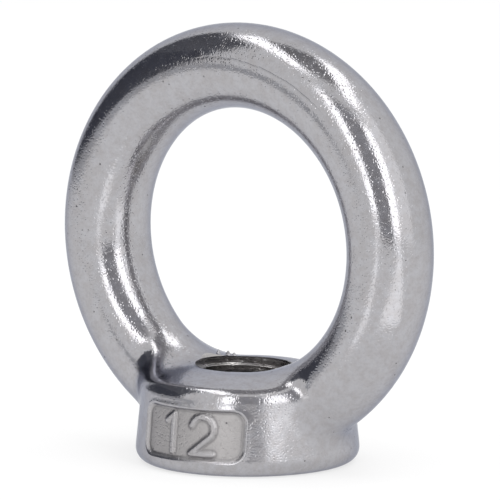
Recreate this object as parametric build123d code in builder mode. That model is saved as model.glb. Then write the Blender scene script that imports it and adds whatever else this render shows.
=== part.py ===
"""Lifting eye nut, M12: one stainless casting, a round ring standing on a tapered threaded boss.

Frame: millimetres, +Z up along the thread. The origin is the centre of the flat seat under the
boss. The ring stands in the XZ plane, so a hook or shackle passes through the eye along Y. The
marking field is on the -Y side.
"""

import os
from math import radians, tan

from build123d import *

# Ring: an oval section swept round a full circle. Its lowest point is buried in the boss, at
# ring_rise above the seat, and stays there when the ring grows.
ring_outer_diameter = 50.0
ring_section_radial = 9.75
ring_section_axial = 10.35
ring_rise = 0.65

# Boss: a round nut body, drawn in towards the top. Its corners are given before rounding.
seat_diameter = 26.25
boss_draft = 6.0
foot_radius = 1.65
shoulder_height = 9.8
shoulder_radius = 1.7

# Crown: it falls away from a flat land round the thread to the shoulder.
land_height = 11.05
land_diameter = 14.0
land_edge_radius = 6.0

# Blend where the two limbs of the ring run into the boss.
limb_blend_radius = 2.0

# Thread M12: the bore is at the tapping size, with a countersink at each mouth.
bore_diameter = 10.2
countersink_diameter = 11.9
countersink_angle = 85.0

# Marking field: a shallow sunk panel on the front of the boss, its floor parallel to the wall.
field_width = 14.0
field_height = 6.5
field_corner_radius = 1.6
field_centre_height = 4.85
field_depth = 0.35


def wall_radius(height):
    """Radius of the boss's drafted wall at a height above the seat."""
    return seat_diameter / 2 - height * tan(radians(boss_draft))


# Marking field cutter: the panel's outline, less a core that keeps to the draft of the wall.
with BuildPart() as field_cutter:
    with BuildSketch(Plane.XZ.offset(wall_radius(0))):
        with Locations((0, field_centre_height)):
            RectangleRounded(field_width, field_height, field_corner_radius)
    extrude(amount=-wall_radius(0))
    Cone(
        wall_radius(0) - field_depth,
        wall_radius(shoulder_height) - field_depth,
        shoulder_height,
        align=(Align.CENTER, Align.CENTER, Align.MIN),
        mode=Mode.SUBTRACT,
    )

# Bore cutter: half profile turned about the thread axis. The upper countersink runs on past the
# land by the height of the limb blend, so that it opens out into the feet of both limbs.
bore_radius = bore_diameter / 2
mouth_radius = countersink_diameter / 2
countersink_slope = tan(radians(countersink_angle / 2))
countersink_depth = (mouth_radius - bore_radius) / countersink_slope
cutter_top = land_height + limb_blend_radius
cutter_top_radius = mouth_radius + limb_blend_radius * countersink_slope
with BuildPart() as bore_cutter:
    with BuildSketch(Plane.YZ):
        with BuildLine():
            Polyline(
                (0, 0),
                (mouth_radius, 0),
                (bore_radius, countersink_depth),
                (bore_radius, land_height - countersink_depth),
                (cutter_top_radius, cutter_top),
                (0, cutter_top),
                close=True,
            )
        make_face()
    revolve(axis=Axis.Z)

with BuildPart() as eye_nut:
    # Boss: half profile turned about the thread axis.
    with BuildSketch(Plane.YZ):
        with BuildLine():
            outline = FilletPolyline(
                (0, 0),
                (wall_radius(0), 0),
                (wall_radius(shoulder_height), shoulder_height),
                (land_diameter / 2, land_height),
                (0, land_height),
                radius=[foot_radius, shoulder_radius, land_edge_radius],
            )
            Line(outline @ 1, outline @ 0)
        make_face()
    revolve(axis=Axis.Z)

    # Ring: two halves of its oval, turned together about the axis of the eye.
    ring_radius = (ring_outer_diameter - ring_section_radial) / 2
    ring_centre_height = ring_outer_diameter / 2 + ring_rise
    with BuildSketch(Plane.XY.offset(ring_centre_height)):
        with BuildLine():
            for start in (0, 180):
                EllipticalCenterArc(
                    (ring_radius, 0),
                    ring_section_radial / 2,
                    ring_section_axial / 2,
                    start_angle=start,
                    arc_size=180,
                )
        make_face()
    revolve(axis=Axis((0, 0, ring_centre_height), (0, 1, 0)))

    # Blend: the limbs run into the crown, the shoulder and the wall of the boss all round.
    fillet(eye_nut.edges(Select.NEW), limb_blend_radius)

    # Marking field and bore.
    add(field_cutter.part, mode=Mode.SUBTRACT)
    add(bore_cutter.part, mode=Mode.SUBTRACT)

eye_nut.part.label = "eye_nut"
os.makedirs("parts", exist_ok=True)
export_step(eye_nut.part, "parts/eye_nut.step")
print("eye_nut", eye_nut.part.volume, eye_nut.part.bounding_box(), eye_nut.part.is_valid)
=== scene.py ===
"""Lifting eye nut in tumbled stainless steel: the cast eye on its boss, the marking field and the
M12 thread, on a plain white floor in soft studio light.

Shapes are worked out in millimetres and brought to metres once, at the end. The frame is the part's
own: +Z up along the thread, the seat at Z 0, the ring in the XZ plane, the marking field at -Y.
Finishes, the studio and the camera are in metres.
"""

from math import cos, degrees, pi, radians, sin, tan

import bmesh
import bpy
import numpy as np
from mathutils import Matrix, Vector


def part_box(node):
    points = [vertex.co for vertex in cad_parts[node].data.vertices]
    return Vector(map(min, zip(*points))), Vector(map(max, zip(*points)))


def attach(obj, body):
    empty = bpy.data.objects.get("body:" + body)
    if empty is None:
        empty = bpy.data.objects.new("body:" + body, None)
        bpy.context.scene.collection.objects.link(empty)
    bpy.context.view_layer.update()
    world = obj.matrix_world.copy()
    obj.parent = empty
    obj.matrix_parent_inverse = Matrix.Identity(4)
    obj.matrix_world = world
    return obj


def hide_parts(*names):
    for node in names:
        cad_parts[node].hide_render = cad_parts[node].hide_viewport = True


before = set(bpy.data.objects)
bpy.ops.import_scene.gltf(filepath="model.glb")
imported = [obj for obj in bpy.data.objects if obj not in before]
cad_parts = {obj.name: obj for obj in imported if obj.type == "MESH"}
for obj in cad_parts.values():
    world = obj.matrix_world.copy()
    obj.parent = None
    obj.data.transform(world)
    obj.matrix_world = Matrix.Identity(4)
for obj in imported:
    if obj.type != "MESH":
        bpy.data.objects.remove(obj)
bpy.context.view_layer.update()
low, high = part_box("eye_nut")

MM = 0.001
FULL_TURN = 2 * pi

# Ring: its outer circle fills the frame's width and reaches its top.
ring_outer_radius = (high[0] - low[0]) / 2 / MM
ring_half_radial = 4.875
ring_half_axial = 5.175
ring_radius = ring_outer_radius - ring_half_radial
ring_height = high[2] / MM - ring_outer_radius

# Boss: it is cast a little low, and its seat is then faced at Z 0.
facing_stock = 0.02
seat_radius = 13.06
shoulder_radius = 12.07
shoulder_height = 9.8
land_radius = 7.0
land_height = 11.05

# Corners of the boss's half profile (radius, height) and the rounding of each.
boss_corners = [
    ((0.0, -facing_stock), 0.0),
    ((seat_radius, -facing_stock), 1.65),
    ((shoulder_radius, shoulder_height), 1.7),
    ((land_radius, land_height), 6.0),
    ((0.0, land_height), 0.0),
]

# Blend of the limbs into the boss: narrow where they leave the wall, wider on the crown. Each "from"
# is where a change of its size starts, and each "run" is how far it takes.
wall_blend = 2.6
crown_blend = 7.2
crown_blend_from = 14.0  # radius, inwards
crown_blend_run = 5.0
crown_blend_height_from = 5.0
crown_blend_height_run = 4.0
left_blend = 12.5  # the foot of the -X limb is cast fuller
left_blend_from = 4.0
left_blend_run = 5.0
level_fade = 0.85  # share that the blend loses where the ring runs level with the land
seat_clear = 0.8  # height below which the wall has no blend
seat_clear_run = 2.5

# Marking field on the front of the boss.
field_half_width = 6.9
field_half_height = 3.1
field_corner = 1.6
field_centre = 0.5  # cast a little off the middle
field_height = 4.7
field_depth = 0.35
field_slope_width = 0.5
field_lip_height = 0.05
field_lip_width = 0.3

# Size mark in the field: raised strokes, as (x, height) from the field's centre.
stroke_half_width = 0.54
stroke_height = 0.3
stroke_fullness = 1.25  # above 1, a stroke's crown is flatter and its sides steeper
stroke_polish = 0.6  # share of the field's matt finish that the tumbling took off the strokes
crease_shade_width = 0.13  # width of the painted shade beside the strokes and inside the field's edge

# Thread M12, right hand, and the countersinks.
thread_pitch = 1.75
thread_major_radius = 6.03
thread_minor_radius = 5.1
groove_runout = 188.0  # bearing at which the groove runs out through the upper rim
upper_mouth_radius = 5.35
seat_mouth_radius = 6.12
countersink_slope = tan(radians(42.5))

# Burrs that the drill and tap left on the upper rim: (x, y), height and half width.
burrs = [((-5.75, 2.19), 0.5, 0.32), ((-5.2, 3.31), 0.5, 0.4), ((-4.75, 3.85), 0.34, 0.34)]

# Mesh of the cast skin: its step, and how often the field and the burrs are cut finer, out to their
# own margins. Vertices are shaped out to the shaped margin.
skin_step = 0.36
finer_cuts = 3
field_finer_margin = 0.6
burr_finer_margin = 0.9
shaped_margin = 1.2
sharp_angle = radians(32)


# ---------------------------------------------------------------- finishes

steel_colour = (0.445, 0.442, 0.464, 1)
steel_shadow_colour = (0.405, 0.394, 0.405, 1)
steel_edge = (0.56, 0.58, 0.65, 1)
# Dark colour of the pits, the ring's line and specks, and of the painted shade in the field's creases.
pit_and_shade_colour = (0.19, 0.185, 0.19, 1)
field_colour = (0.42, 0.405, 0.405, 1)
cut_colour = (0.57, 0.55, 0.54, 1)
cut_shadow_colour = (0.42, 0.405, 0.40, 1)

# Depths of the relief in the metal, in metres.
wave_depth = 16e-6
grain_depth = 8e-6
pit_depth = 25e-6
turning_depth = 6e-6
cut_grain_depth = 18e-6

# Faint line round the front of the ring, above the eye, in millimetres. It fades in along each of
# these axes, from the first place to the second.
line_radius = 21.5
line_wander = 0.5
line_half_width = 0.17
line_core = 0.03
line_fades = [("X", -6, -1), ("X", 17, 11), ("Y", 0, -2), ("Z", 34, 40)]

turning_pitch = 0.3  # millimetres between the turning marks on the faced seat


def node(tree, kind, inputs=None, **settings):
    """Shader node. Each input, by name or number, is a value or the socket that feeds it."""
    made = tree.nodes.new(kind)
    for key, value in settings.items():
        setattr(made, key, value)
    for key, value in (inputs or {}).items():
        if isinstance(value, bpy.types.NodeSocket):
            tree.links.new(value, made.inputs[key])
        else:
            made.inputs[key].default_value = value
    return made


def maths(tree, operation, *values):
    """Math node on values or sockets."""
    return node(tree, "ShaderNodeMath", dict(enumerate(values)), operation=operation).outputs[0]


def between(tree, value, from_low, from_high, to_low=0.0, to_high=1.0):
    """Value brought smoothly from one range to another."""
    ranges = {
        "Value": value,
        "From Min": from_low,
        "From Max": from_high,
        "To Min": to_low,
        "To Max": to_high,
    }
    made = node(tree, "ShaderNodeMapRange", ranges, interpolation_type="SMOOTHSTEP")
    return made.outputs["Result"]


def noise(tree, position, scale, detail=2.0, roughness=0.55):
    """Noise about 0.5. The scale is in waves per metre."""
    inputs = {"Vector": position, "Scale": scale, "Detail": detail, "Roughness": roughness}
    return node(tree, "ShaderNodeTexNoise", inputs).outputs[0]


def cells(tree, position, scale):
    """Voronoi cells: the distance from each one's middle, and its own three random values."""
    made = node(tree, "ShaderNodeTexVoronoi", {"Vector": position, "Scale": scale})
    chance = node(tree, "ShaderNodeSeparateColor", {0: made.outputs["Color"]}).outputs
    return made.outputs["Distance"], chance


def mixed(tree, share, first, second):
    """Colour between two, by the share of the second."""
    return node(tree, "ShaderNodeMix", {0: share, 6: first, 7: second}, data_type="RGBA").outputs[2]


def axis_distance(tree, across, along):
    """Distance from an axis, from the two coordinates square to it."""
    squares = [maths(tree, "POWER", value, 2.0) for value in (across, along)]
    return maths(tree, "SQRT", maths(tree, "ADD", *squares))


def bump(tree, height, depth, over=None):
    """Bump of a depth in metres, over the bumps before it."""
    inputs = {"Height": height, "Distance": depth}
    if over is not None:
        inputs["Normal"] = over
    return node(tree, "ShaderNodeBump", inputs).outputs["Normal"]


def new_group(name, inputs, outputs):
    """Node group with a position input, value inputs (name: first value) and value outputs."""
    group = bpy.data.node_groups.new(name, "ShaderNodeTree")
    group.interface.new_socket("Position", in_out="INPUT", socket_type="NodeSocketVector")
    for key, value in inputs.items():
        socket = group.interface.new_socket(key, in_out="INPUT", socket_type="NodeSocketFloat")
        socket.default_value = value
    for key in outputs:
        group.interface.new_socket(key, in_out="OUTPUT", socket_type="NodeSocketFloat")
    given = group.nodes.new("NodeGroupInput").outputs
    put = group.nodes.new("NodeGroupOutput").inputs
    return group, given, put


def placed_group(tree, group, position, **values):
    """Outputs of a group placed in a material with its own values."""
    inputs = {"Position": position, **values}
    return node(tree, "ShaderNodeGroup", inputs, node_tree=group).outputs


def tumbled_grain():
    """Grain of tumbled metal: fine waves, dints that the stones struck, and less polished patches."""
    group, given, put = new_group("tumbled_grain", {"Fineness": 4000.0}, ["Height", "Patches"])
    position, fineness = given["Position"], given["Fineness"]
    coarse = noise(group, position, fineness, 0.0)
    fine = noise(group, position, maths(group, "MULTIPLY", fineness, 2.1), 0.0)
    off_dint, chance = cells(group, position, maths(group, "MULTIPLY", fineness, 0.75))
    struck = between(group, chance[0], 0.35, 0.8)
    dint = maths(group, "MULTIPLY", between(group, off_dint, 0.55, 0.0), struck)
    height = maths(group, "MULTIPLY_ADD", fine, 0.45, coarse)
    group.links.new(maths(group, "MULTIPLY_ADD", dint, -2.1, height), put["Height"])
    patches = noise(group, position, maths(group, "MULTIPLY", fineness, 0.1), 3.0, 0.6)
    group.links.new(between(group, patches, 0.36, 0.66), put["Patches"])
    return group


def casting_pits():
    """Pits of a casting: a share of the cells hold one, each of its own size."""
    sizes = {"Spacing": 900.0, "Share": 0.1, "Radius": 0.2}
    group, given, put = new_group("casting_pits", sizes, ["Mask"])
    off_pit, chance = cells(group, given["Position"], given["Spacing"])
    chosen = maths(group, "LESS_THAN", chance[0], given["Share"])
    pit_radius = maths(group, "MULTIPLY", chance[1], given["Radius"])
    depth_in = maths(group, "SUBTRACT", pit_radius, off_pit)
    inside = between(group, depth_in, -0.04, 0.08)
    group.links.new(maths(group, "MULTIPLY", inside, chosen), put["Mask"])
    return group


def ring_line(tree, place, at):
    """Mask of the faint line round the front of the ring."""
    above = maths(tree, "SUBTRACT", at["Z"], ring_height * MM)
    radius = axis_distance(tree, at["X"], above)
    waver = noise(tree, place, 500.0, 2.0)
    wander = maths(tree, "MULTIPLY_ADD", waver, line_wander * MM, -line_wander / 2 * MM)
    wandered = maths(tree, "ADD", radius, wander)
    off_line = maths(tree, "ABSOLUTE", maths(tree, "SUBTRACT", wandered, line_radius * MM))
    line = between(tree, off_line, line_half_width * MM, line_core * MM)
    for along, start, end in line_fades:
        line = maths(tree, "MULTIPLY", line, between(tree, at[along], start * MM, end * MM))
    return line


def new_metal(name, colour, edge_colour):
    """Bare metal: the material, its tree, its shader and the place it is worked out from."""
    material = bpy.data.materials.new(name)
    material.use_nodes = True
    tree = material.node_tree
    shader = tree.nodes["Principled BSDF"]
    shader.inputs["Base Color"].default_value = colour
    shader.inputs["Metallic"].default_value = 1
    shader.inputs["Specular Tint"].default_value = edge_colour
    return material, tree, shader, tree.nodes.new("ShaderNodeTexCoord").outputs["Object"]


def tumbled_stainless(grain, pits):
    """Skin of the casting: tumbled bright, matt on the field's floor, with painted shade in its
    creases.
    """
    material, tree, steel, place = new_metal("tumbled_stainless", steel_colour, steel_edge)
    dull = node(tree, "ShaderNodeAttribute", attribute_name="dull").outputs["Fac"]
    # Painted shade in the field's creases, read from the mesh
    crease_shade = node(tree, "ShaderNodeAttribute", attribute_name="crease_shade").outputs["Fac"]
    grained = placed_group(tree, grain, place, Fineness=4600.0)
    pitted = placed_group(tree, pits, place, Spacing=1200.0, Share=0.14, Radius=0.19)["Mask"]
    at = node(tree, "ShaderNodeSeparateXYZ", {0: place}).outputs
    line = ring_line(tree, place, at)

    rough = between(tree, grained["Patches"], 0.0, 1.0, 0.11, 0.18)
    wall = between(tree, at["Z"], 9.5 * MM, 8.0 * MM)
    rough = maths(tree, "MULTIPLY_ADD", wall, 0.06, rough)
    rough = maths(tree, "MULTIPLY_ADD", dull, 0.22, rough)
    rough = maths(tree, "MULTIPLY_ADD", pitted, 0.3, rough)
    tree.links.new(rough, steel.inputs["Roughness"])

    normal = bump(tree, noise(tree, place, 520.0, 1.0), wave_depth)
    grit = maths(tree, "MULTIPLY_ADD", dull, 1.4, 1.0)
    normal = bump(tree, maths(tree, "MULTIPLY", grained["Height"], grit), grain_depth, normal)
    sunk = maths(tree, "MAXIMUM", pitted, line)
    normal = bump(tree, maths(tree, "SUBTRACT", 1.0, sunk), pit_depth, normal)
    tree.links.new(normal, steel.inputs["Normal"])

    clouds = between(tree, noise(tree, place, 900.0, 3.0, 0.65), 0.3, 0.7)
    colour = mixed(tree, clouds, steel_colour, steel_shadow_colour)
    colour = mixed(tree, dull, colour, field_colour)
    specks = between(tree, noise(tree, place, 2800.0, 2.0), 0.4, 0.75)
    # Pits, line and specks are marks on the metal; the crease mask adds painted shade.
    marks = pitted
    for mask, strength in ((line, 0.22), (crease_shade, 0.6), (specks, 0.14)):
        marks = maths(tree, "MAXIMUM", marks, maths(tree, "MULTIPLY", mask, strength))
    tree.links.new(mixed(tree, marks, colour, pit_and_shade_colour), steel.inputs["Base Color"])
    return material


def freshly_cut_steel(grain):
    """Machined steel of the thread and the faced seat, with rings left by turning."""
    material, tree, steel, place = new_metal("cut_steel", cut_colour, steel_edge)
    grained = placed_group(tree, grain, place, Fineness=2600.0)
    at = node(tree, "ShaderNodeSeparateXYZ", {0: place}).outputs
    radius = axis_distance(tree, at["X"], at["Y"])
    rough = between(tree, grained["Patches"], 0.0, 1.0, 0.2, 0.3)
    tree.links.new(rough, steel.inputs["Roughness"])

    turns = maths(tree, "MULTIPLY", radius, FULL_TURN / (turning_pitch * MM))
    normal = bump(tree, maths(tree, "SINE", turns), turning_depth)
    normal = bump(tree, grained["Height"], cut_grain_depth, normal)
    tree.links.new(normal, steel.inputs["Normal"])

    across = node(tree, "ShaderNodeCombineXYZ", {0: radius}).outputs[0]
    tone = between(tree, noise(tree, across, 1500.0, 3.0, 0.6), 0.3, 0.7)
    tree.links.new(mixed(tree, tone, cut_colour, cut_shadow_colour), steel.inputs["Base Color"])
    return material


# ---------------------------------------------------------------- shapes

def rounded_profile(corners, turn_step):
    """Closed half profile with its corners rounded, as an ordered list of (radius, height)."""
    bm = bmesh.new()
    verts = [bm.verts.new((r, 0, z)) for (r, z), _ in corners]
    bm.faces.new(verts)
    for i, v in enumerate(verts):
        corner, rounding = corners[i]
        if not rounding:
            continue
        here = Vector(corner)
        before = Vector(corners[i - 1][0]) - here
        after = Vector(corners[(i + 1) % len(corners)][0]) - here
        turn = pi - before.angle(after)
        bmesh.ops.bevel(
            bm,
            geom=[v],
            offset=rounding * tan(turn / 2),
            offset_type="OFFSET",
            affect="VERTICES",
            segments=max(2, round(degrees(turn) / turn_step)),
            profile=0.5,
            material=-1,
        )
    outline = [(v.co.x, v.co.z) for v in bm.faces[:][0].verts]
    bm.free()
    return outline


def add_ring(bm):
    """Oval section spun round the axis of the eye."""
    section = bmesh.ops.create_circle(bm, segments=64, radius=1)["verts"]
    bmesh.ops.scale(bm, vec=(ring_half_radial, ring_half_axial, 1), verts=section)
    bmesh.ops.translate(bm, vec=(ring_radius, 0, ring_height), verts=section)
    edges = list({e for v in section for e in v.link_edges})
    bmesh.ops.spin(
        bm,
        geom=section + edges,
        cent=(0, 0, ring_height),
        axis=(0, 1, 0),
        angle=FULL_TURN,
        steps=180,
        use_merge=True,
    )


def add_turned(bm, outline, steps=180):
    """Half profile spun round the thread axis to a closed solid."""
    verts = [bm.verts.new((r, 0, z)) for r, z in outline]
    edges = [bm.edges.new(pair) for pair in zip(verts, verts[1:])]
    bmesh.ops.spin(
        bm,
        geom=verts + edges,
        cent=(0, 0, 0),
        axis=(0, 0, 1),
        angle=FULL_TURN,
        steps=steps,
        use_merge=True,
    )
    bmesh.ops.remove_doubles(bm, verts=bm.verts, dist=1e-5)


def as_object(name, bm):
    """Object from a finished bmesh, with its faces turned outwards."""
    bmesh.ops.recalc_face_normals(bm, faces=bm.faces)
    mesh = bpy.data.meshes.new(name)
    bm.to_mesh(mesh)
    bm.free()
    made = bpy.data.objects.new(name, mesh)
    bpy.context.scene.collection.objects.link(made)
    return made


def apply_modifiers(obj):
    """Replaces an object's mesh by its finished form."""
    evaluated = obj.evaluated_get(bpy.context.evaluated_depsgraph_get())
    finished = bpy.data.meshes.new_from_object(evaluated)
    obj.modifiers.clear()
    obj.data = finished


# ---------------------------------------------------------------- the cast skin

boss_outline = rounded_profile(boss_corners, 2.0)


def ring_distance(p):
    """Distance of points from the skin of the oval ring, negative inside."""
    across = np.hypot(p[:, 0], p[:, 2] - ring_height) - ring_radius
    k = np.hypot(across / ring_half_radial, p[:, 1] / ring_half_axial)
    slope = np.hypot(across / ring_half_radial**2, p[:, 1] / ring_half_axial**2)
    return k * (k - 1) / np.maximum(slope, 1e-9)


def boss_distance(p):
    """Distance of points from the turned boss, negative inside its convex profile."""
    q = np.stack([np.hypot(p[:, 0], p[:, 1]), p[:, 2]], axis=1)
    nearest = np.full(len(q), np.inf)
    beyond = np.full(len(q), -np.inf)
    points = np.array(boss_outline)
    for start, end in zip(points, np.roll(points, -1, axis=0)):
        side = end - start
        length = np.hypot(*side)
        if length < 1e-9 or (start[0] < 1e-6 and end[0] < 1e-6):
            continue
        away = q - start
        along = np.clip(away @ side / length**2, 0, 1)
        nearest = np.minimum(nearest, np.hypot(*(away - along[:, None] * side).T))
        beyond = np.maximum(beyond, (away[:, 0] * side[1] - away[:, 1] * side[0]) / length)
    return np.where(beyond > 0, nearest, beyond)


def ease(x):
    """Smooth step from 0 to 1."""
    x = np.clip(x, 0, 1)
    return x * x * (3 - 2 * x)


def ring_facing_up(p):
    """How far the ring's skin faces up at points near it, 0 to 1."""
    x, z = p[:, 0], p[:, 2] - ring_height
    out = np.hypot(x, z)
    radial = (out - ring_radius) / ring_half_radial**2
    axial = p[:, 1] / ring_half_axial**2
    return np.clip(radial * z / np.maximum(out * np.hypot(radial, axial), 1e-9), 0, 1)


def cast_distance(p):
    """Ring and boss as one casting, with a soft blend where they meet. The flat seat has none."""
    ring, boss = ring_distance(p), boss_distance(p)
    radius, height = np.hypot(p[:, 0], p[:, 1]), p[:, 2]
    inwards = ease((crown_blend_from - radius) / crown_blend_run)
    inwards = inwards * ease((height - crown_blend_height_from) / crown_blend_height_run)
    leftwards = ease((-p[:, 0] - left_blend_from) / left_blend_run)
    crown = crown_blend + (left_blend - crown_blend) * leftwards
    size = wall_blend + (crown - wall_blend) * inwards
    size = size * (1 - level_fade * inwards * ring_facing_up(p))
    size = np.maximum(size * ease((height - seat_clear) / seat_clear_run), 1e-3)
    overlap = np.maximum(1 - np.abs(ring - boss) / size, 0)
    return np.minimum(ring, boss) - overlap**3 * size / 6


def settle(verts, rounds=4):
    """Moves vertices square on to the skin of the casting."""
    p = np.array([v.co for v in verts])
    step = 1e-4
    least_slope = 0.05  # keeps a vertex from being thrown off where the blend is nearly level
    for _ in range(rounds):
        here = cast_distance(p)
        ahead = [cast_distance(p + step * axis) for axis in np.eye(3)]
        slope = np.stack([(there - here) / step for there in ahead], axis=1)
        p -= (here / np.maximum((slope**2).sum(axis=1), least_slope))[:, None] * slope
    for v, place in zip(verts, p):
        v.co = place


def make_finer(bm, near):
    """Cuts up the faces whose middle is near a place."""
    edges = {e for f in bm.faces if near(f.calc_center_median()) for e in f.edges}
    bmesh.ops.subdivide_edges(bm, edges=list(edges), cuts=finer_cuts, use_grid_fill=True)
    bmesh.ops.triangulate(bm, faces=[f for f in bm.faces if len(f.verts) > 4])


def cast_blank():
    """Ring and boss under one even skin."""
    bm = bmesh.new()
    add_ring(bm)
    add_turned(bm, boss_outline)
    blank = as_object("cast_eye_nut", bm)
    remesh = blank.modifiers.new("even_skin", "REMESH")
    remesh.mode = "VOXEL"
    remesh.voxel_size = skin_step
    apply_modifiers(blank)
    return blank


def smooth_skin(bm):
    """Brings the skin to its true form, with its vertices evenly spread."""
    settle(bm.verts)
    for _ in range(3):
        bmesh.ops.smooth_vert(
            bm,
            verts=bm.verts,
            factor=0.5,
            use_axis_x=True,
            use_axis_y=True,
            use_axis_z=True,
        )
    settle(bm.verts)


# ---------------------------------------------------------------- marking field

def panel_distance(x, z):
    """Distance from the outline of the rounded field, negative inside."""
    qx = np.abs(x) - (field_half_width - field_corner)
    qz = np.abs(z) - (field_half_height - field_corner)
    outside = np.hypot(np.maximum(qx, 0), np.maximum(qz, 0))
    return outside + np.minimum(np.maximum(qx, qz), 0) - field_corner


def arc(centre, radius, start, end, steps=10):
    """Points on an arc, angles in degrees from +x towards up."""
    angles = np.radians(np.linspace(start, end, steps))
    return [(centre[0] + radius * cos(a), centre[1] + radius * sin(a)) for a in angles]


one = [(-3.1, 1.35), (-2.1, 2.1), (-2.1, -2.1)]
two = arc((1.9, 0.75), 1.4, 165, -35) + [(0.55, -2.1), (3.3, -2.1)]


def stroke_distance(x, z, strokes):
    """Distance from the nearest stroke's centre line."""
    q = np.stack([x, z], axis=1)
    nearest = np.full(len(q), np.inf)
    for stroke in strokes:
        for start, end in zip(np.array(stroke), np.array(stroke)[1:]):
            side = end - start
            along = np.clip((q - start) @ side / (side @ side), 0, 1)
            nearest = np.minimum(nearest, np.hypot(*(q - start - along[:, None] * side).T))
    return nearest


def near_field(co, margin):
    """True on the front of the boss in the field or within a margin of it."""
    inside_x = abs(co.x - field_centre) < field_half_width + margin
    inside_z = abs(co.z - field_height) < field_half_height + margin
    return co.y < 0 and inside_x and inside_z


def sink_field(bm):
    """Sinks the marking field, raises its strokes and lip, marks where it is matt and where shade is
    painted.
    """
    dull = bm.verts.layers.float.new("dull")
    crease_shade = bm.verts.layers.float.new("crease_shade")
    make_finer(bm, lambda middle: near_field(middle, field_finer_margin))
    front = [v for v in bm.verts if near_field(v.co, shaped_margin)]
    settle(front, rounds=2)

    p = np.array([v.co for v in front])
    x, z = p[:, 0] - field_centre, p[:, 2] - field_height
    edge = panel_distance(x, z)
    drop = ease(-edge / field_slope_width)
    stroke = stroke_distance(x, z, [one, two])
    dome = ease(stroke_fullness * (1 - stroke / stroke_half_width))
    lip = np.exp(-((edge / field_lip_width) ** 2)) * field_lip_height
    inward = field_depth * drop - stroke_height * dome * drop - lip
    radial = np.hypot(p[:, 0], p[:, 1])
    p[:, 0] -= inward * p[:, 0] / radial
    p[:, 1] -= inward * p[:, 1] / radial

    matt = drop * (1 - stroke_polish * dome)
    # Painted shade: darkening beside the strokes and inside the field's edge
    beside_stroke = np.exp(-(((stroke - stroke_half_width) / crease_shade_width) ** 2))
    inside_edge = np.exp(-(((edge + field_slope_width) / crease_shade_width) ** 2))
    painted_shade = np.maximum(beside_stroke, inside_edge)
    for v, place, matt_share, shade_share in zip(front, p, matt, painted_shade):
        v.co = place
        v[dull] = matt_share
        v[crease_shade] = shade_share


# ---------------------------------------------------------------- burrs on the upper rim

def near_burr(co, margin):
    """True within a margin of a burr on the crown."""
    on_crown = co.z > land_height - 1
    return on_crown and any((co.xy - Vector(spot)).length < margin for spot, _, _ in burrs)


def burr_height(co):
    """Height that the burrs add at a place on the crown."""
    shares = [(tall, (co.xy - Vector(spot)).length / half_width) for spot, tall, half_width in burrs]
    return max(tall * ease(1 - away) for tall, away in shares)


def raise_burrs(bm):
    """Raises the burrs on the upper rim."""
    make_finer(bm, lambda middle: near_burr(middle, burr_finer_margin))
    rim = [v for v in bm.verts if near_burr(v.co, shaped_margin)]
    settle(rim, rounds=2)
    for v in rim:
        v.co.z += burr_height(v.co)


# ---------------------------------------------------------------- bore and thread

def bore_cutter():
    """Facing cut of the seat, the plain bore and a countersink at each end, turned as one cutter."""
    reach = 3.0
    lower_depth = (seat_mouth_radius - thread_minor_radius) / countersink_slope
    upper_depth = (upper_mouth_radius - thread_minor_radius) / countersink_slope
    outline = [
        (0, -reach),
        (seat_radius + reach, -reach),
        (seat_radius + reach, 0),
        (seat_mouth_radius, 0),
        (thread_minor_radius, lower_depth),
        (thread_minor_radius, land_height - upper_depth),
        (upper_mouth_radius + reach * countersink_slope, land_height + reach),
        (0, land_height + reach),
    ]
    bm = bmesh.new()
    add_turned(bm, outline, steps=96)
    return as_object("bore_cutter", bm)


def tap_cutter():
    """Helical ridge of the thread on a core: one pitch of the profile, screwed up past both mouths."""
    core = thread_minor_radius - 0.05  # a little inside the bore, so that the two don't share a wall
    bottom, top = -0.5, land_height + 1.5
    root_flat = thread_pitch / 8
    flank = (thread_major_radius - core) * tan(radians(30))
    ridge_top = thread_pitch - flank
    ridge_middle = ridge_top - root_flat / 2
    profile = [
        (core, 0),
        (core, ridge_top - root_flat - flank),
        (thread_major_radius, ridge_top - root_flat),
        (thread_major_radius, ridge_top),
        (core, thread_pitch),
    ]
    turns = 9
    steps = 72
    start = groove_runout - 360 * ((land_height - ridge_middle) / thread_pitch % 1)
    turn = Matrix.Rotation(radians(start), 3, "Z")
    bm = bmesh.new()
    verts = [bm.verts.new(turn @ Vector((r, 0, z - 2 * thread_pitch))) for r, z in profile]
    edges = [bm.edges.new(pair) for pair in zip(verts, verts[1:])]
    bmesh.ops.spin(
        bm,
        geom=verts + edges,
        cent=(0, 0, 0),
        axis=(0, 0, 1),
        dvec=(0, 0, thread_pitch / steps),
        angle=FULL_TURN * turns,
        steps=steps * turns,
    )
    bmesh.ops.remove_doubles(bm, verts=bm.verts, dist=1e-4)
    for height, upwards in ((bottom, -1), (top, 1)):
        cut = bmesh.ops.bisect_plane(
            bm,
            geom=bm.verts[:] + bm.edges[:] + bm.faces[:],
            plane_co=(0, 0, height),
            plane_no=(0, 0, upwards),
            clear_outer=True,
        )
        rim = [e for e in cut["geom_cut"] if isinstance(e, bmesh.types.BMEdge)]
        bmesh.ops.edgeloop_fill(bm, edges=rim)
    return as_object("tap_cutter", bm)


def cut_away(obj, name, cutter):
    """Cuts a solid out of an object. The cut faces take the cutter's own finish."""
    for material in obj.data.materials:
        cutter.data.materials.append(material)
    cutter.data.polygons.foreach_set("material_index", [1] * len(cutter.data.polygons))
    cut = obj.modifiers.new(name, "BOOLEAN")
    cut.operation = "DIFFERENCE"
    cut.solver = "EXACT"
    cut.object = cutter
    apply_modifiers(obj)
    bpy.data.objects.remove(cutter)


# ---------------------------------------------------------------- the eye nut

eye_nut = cast_blank()
skin = bmesh.new()
skin.from_mesh(eye_nut.data)
smooth_skin(skin)
sink_field(skin)
raise_burrs(skin)
skin.to_mesh(eye_nut.data)
skin.free()

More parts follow.
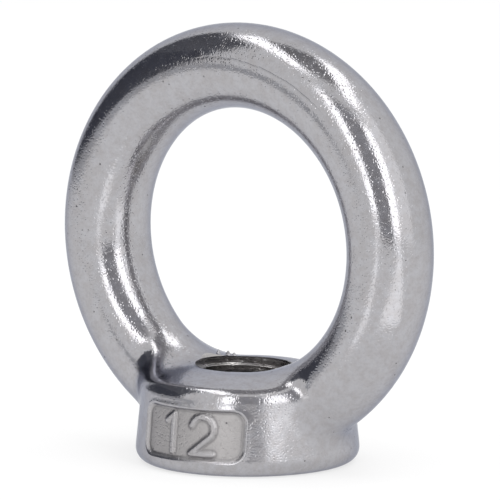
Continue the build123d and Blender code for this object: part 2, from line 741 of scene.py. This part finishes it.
grain = tumbled_grain()
eye_nut.data.materials.append(tumbled_stainless(grain, casting_pits()))
eye_nut.data.materials.append(freshly_cut_steel(grain))
cut_away(eye_nut, "bore", bore_cutter())
cut_away(eye_nut, "tap", tap_cutter())

eye_nut.data.transform(Matrix.Scale(MM, 4))
eye_nut.data.polygons.foreach_set("use_smooth", [True] * len(eye_nut.data.polygons))
eye_nut.data.set_sharp_from_angle(angle=sharp_angle)
eye_nut.data.update()

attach(eye_nut, "root")
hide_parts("eye_nut")


# ---------------------------------------------------------------- studio

view_azimuth = radians(36.32)
view_elevation = radians(8.94)
view_distance = 1.1936
focal_length = 748.6
sensor_width = 36
sideways_shift = 0.00481
upward_shift = -0.0244
aim = Vector((0, 0, 0.0258))

studio_reach = 0.47  # from the nut to the lamps
card_reach = studio_reach + 0.01
wall_reach = studio_reach + 0.02
lamp_brightness = 1.9
foot_brightness = 0.55  # where a lamp fades out towards the floor, and on the floor
wall_brightness = 0.33
floor_gap = 0.03 * MM  # keeps the seat and the floor apart
floor_lamp_height = 0.0015
floor_white = 0.32
floor_glow = 0.65
to_camera = Vector((
    sin(view_azimuth) * cos(view_elevation),
    -cos(view_azimuth) * cos(view_elevation),
    sin(view_elevation),
))
to_right = Vector((cos(view_azimuth), sin(view_azimuth), 0))
to_top = to_camera.cross(to_right)


def turned(place, z_axis, y_axis):
    """Matrix of an object at a place with its +Z and +Y axes along two square directions."""
    axes = Matrix((y_axis.cross(z_axis), y_axis, z_axis)).transposed()
    return Matrix.Translation(place) @ axes.to_4x4()


def upright(bearing, width, bottom, top, distance):
    """Place and size of an upright panel round the nut, at a distance to its middle. Its bearing is
    in degrees to the right of the camera, and its width, bottom and top are in degrees as the nut
    sees them."""
    out = to_right * sin(radians(bearing)) + to_camera * cos(radians(bearing))
    low_edge = distance * tan(radians(bottom))
    high_edge = distance * tan(radians(top))
    place = aim + out * distance + to_top * (low_edge + high_edge) / 2
    size = (2 * distance * tan(radians(width / 2)), high_edge - low_edge)
    return turned(place, out, to_top), size


def softbox(name, placed, size, brightness):
    """Soft rectangular lamp. Brightness 1 is white."""
    data = bpy.data.lights.new(name, "AREA")
    data.shape = "RECTANGLE"
    data.size, data.size_y = size
    data.energy = brightness * pi * size[0] * size[1]
    lamp = bpy.data.objects.new(name, data)
    bpy.context.scene.collection.objects.link(lamp)
    lamp.matrix_world = placed
    lamp.visible_camera = False


def card(name, placed, size, colour):
    """Matt card, not seen by the camera, that the nut mirrors."""
    bm = bmesh.new()
    bmesh.ops.create_grid(bm, x_segments=1, y_segments=1, size=0.5)
    made = as_object(name, bm)
    made.data.transform(placed @ Matrix.Diagonal((*size, 1, 1)))
    made.visible_camera = False
    made.visible_diffuse = False
    paint = bpy.data.materials.new(name)
    paint.use_nodes = True
    matt = paint.node_tree.nodes["Principled BSDF"]
    matt.inputs["Base Color"].default_value = (*colour, 1)
    matt.inputs["Roughness"].default_value = 1
    matt.inputs["Specular IOR Level"].default_value = 0
    made.data.materials.append(paint)


def overhead(left, right, back, front, height):
    """Place and size of a level panel over the nut. Its edges are shares of its height above it."""
    middle = to_top + to_right * (left + right) / 2 + to_camera * (back + front) / 2
    size = ((right - left) * height, (front - back) * height)
    return turned(aim + middle * height, to_top, to_camera), size


def on_floor(bearing, width, near, far):
    """Place and size of a panel lying face up on the floor, running away from the nut."""
    away = to_right * sin(radians(bearing)) + to_camera * cos(radians(bearing))
    away = away * Vector((1, 1, 0))
    away.normalize()
    place = away * (near + far) / 2 + Vector((0, 0, floor_lamp_height))
    return turned(place, Vector((0, 0, -1)), away), (width, far - near)


def white_floor_paint():
    """Matt white that keeps the nut's shadow. Its glow is for the camera, mirrors and glass only."""
    paint = bpy.data.materials.new("white_floor")
    paint.use_nodes = True
    tree = paint.node_tree
    tree.nodes.remove(tree.nodes["Principled BSDF"])
    white = (floor_white, floor_white, floor_white, 1)
    matt = node(tree, "ShaderNodeBsdfDiffuse", {"Color": white}).outputs[0]
    rays = node(tree, "ShaderNodeLightPath").outputs
    seen = maths(tree, "MAXIMUM", rays["Is Camera Ray"], rays["Is Glossy Ray"])
    seen = maths(tree, "MAXIMUM", seen, rays["Is Transmission Ray"])
    strength = maths(tree, "MULTIPLY", seen, floor_glow)
    glow = node(tree, "ShaderNodeEmission", {"Strength": strength}).outputs[0]
    both = node(tree, "ShaderNodeAddShader", {0: matt, 1: glow}).outputs[0]
    tree.links.new(both, tree.nodes["Material Output"].inputs["Surface"])
    return paint


for side, bearing, width, bottom, top in (
    ("left", -21.5, 13.4, -4.2, 43.9),
    ("right", 28.0, 17.4, -4.5, 43.4),
):
    strip = upright(bearing, width, bottom, top, studio_reach)
    foot = upright(bearing, width, -10.4, bottom, studio_reach)
    softbox(side + "_strip", *strip, lamp_brightness)
    softbox(side + "_strip_foot", *foot, foot_brightness)
softbox("left_floor_strip", *on_floor(-25.0, 0.018, 0.045, 0.44), foot_brightness)
softbox("right_floor_strip", *on_floor(32.0, 0.032, 0.045, 0.44), foot_brightness)
softbox("left_top_bar", *overhead(-0.44, -0.22, -0.30, 0.53, studio_reach), lamp_brightness)
softbox("right_top_bar", *overhead(0.24, 0.50, -0.27, 0.58, studio_reach), lamp_brightness)
softbox("right_wall", *upright(53.5, 31.0, -6.0, 62.0, wall_reach), wall_brightness)
card("centre_card", *upright(2.0, 33.4, -10.5, 48.0, card_reach), (0.54, 0.54, 0.57))
card("top_card", *overhead(-0.24, 0.25, -0.15, 0.46, card_reach), (0.58, 0.575, 0.6))
card("left_low_card", *upright(-100, 84, -9, 6.5, card_reach), (0.68, 0.69, 0.72))
card("left_flag", *upright(-109, 66, 6.5, 36, card_reach), (0.10, 0.105, 0.13))
card("left_upper_flag", *upright(-109, 66, 36, 62, card_reach), (0.17, 0.175, 0.2))

bm = bmesh.new()
bmesh.ops.create_circle(bm, cap_ends=True, segments=96, radius=3)
bmesh.ops.translate(bm, vec=(0, 0, -floor_gap), verts=bm.verts)
floor = as_object("floor", bm)
floor.data.materials.append(white_floor_paint())

world = bpy.data.worlds.new("studio")
bpy.context.scene.world = world
world.use_nodes = True
world.node_tree.nodes["Background"].inputs["Color"].default_value = (1, 1, 1, 1)

camera_data = bpy.data.cameras.new("camera")
camera_data.lens = focal_length
camera_data.sensor_width = sensor_width
camera_data.shift_x = sideways_shift
camera_data.shift_y = upward_shift
camera_data.clip_end = 20
camera = bpy.data.objects.new("camera", camera_data)
bpy.context.scene.collection.objects.link(camera)
camera.matrix_world = turned(aim + to_camera * view_distance, to_camera, to_top)
bpy.context.scene.camera = camera
bpy.context.scene.view_settings.view_transform = "Standard"

bpy.context.view_layer.update()
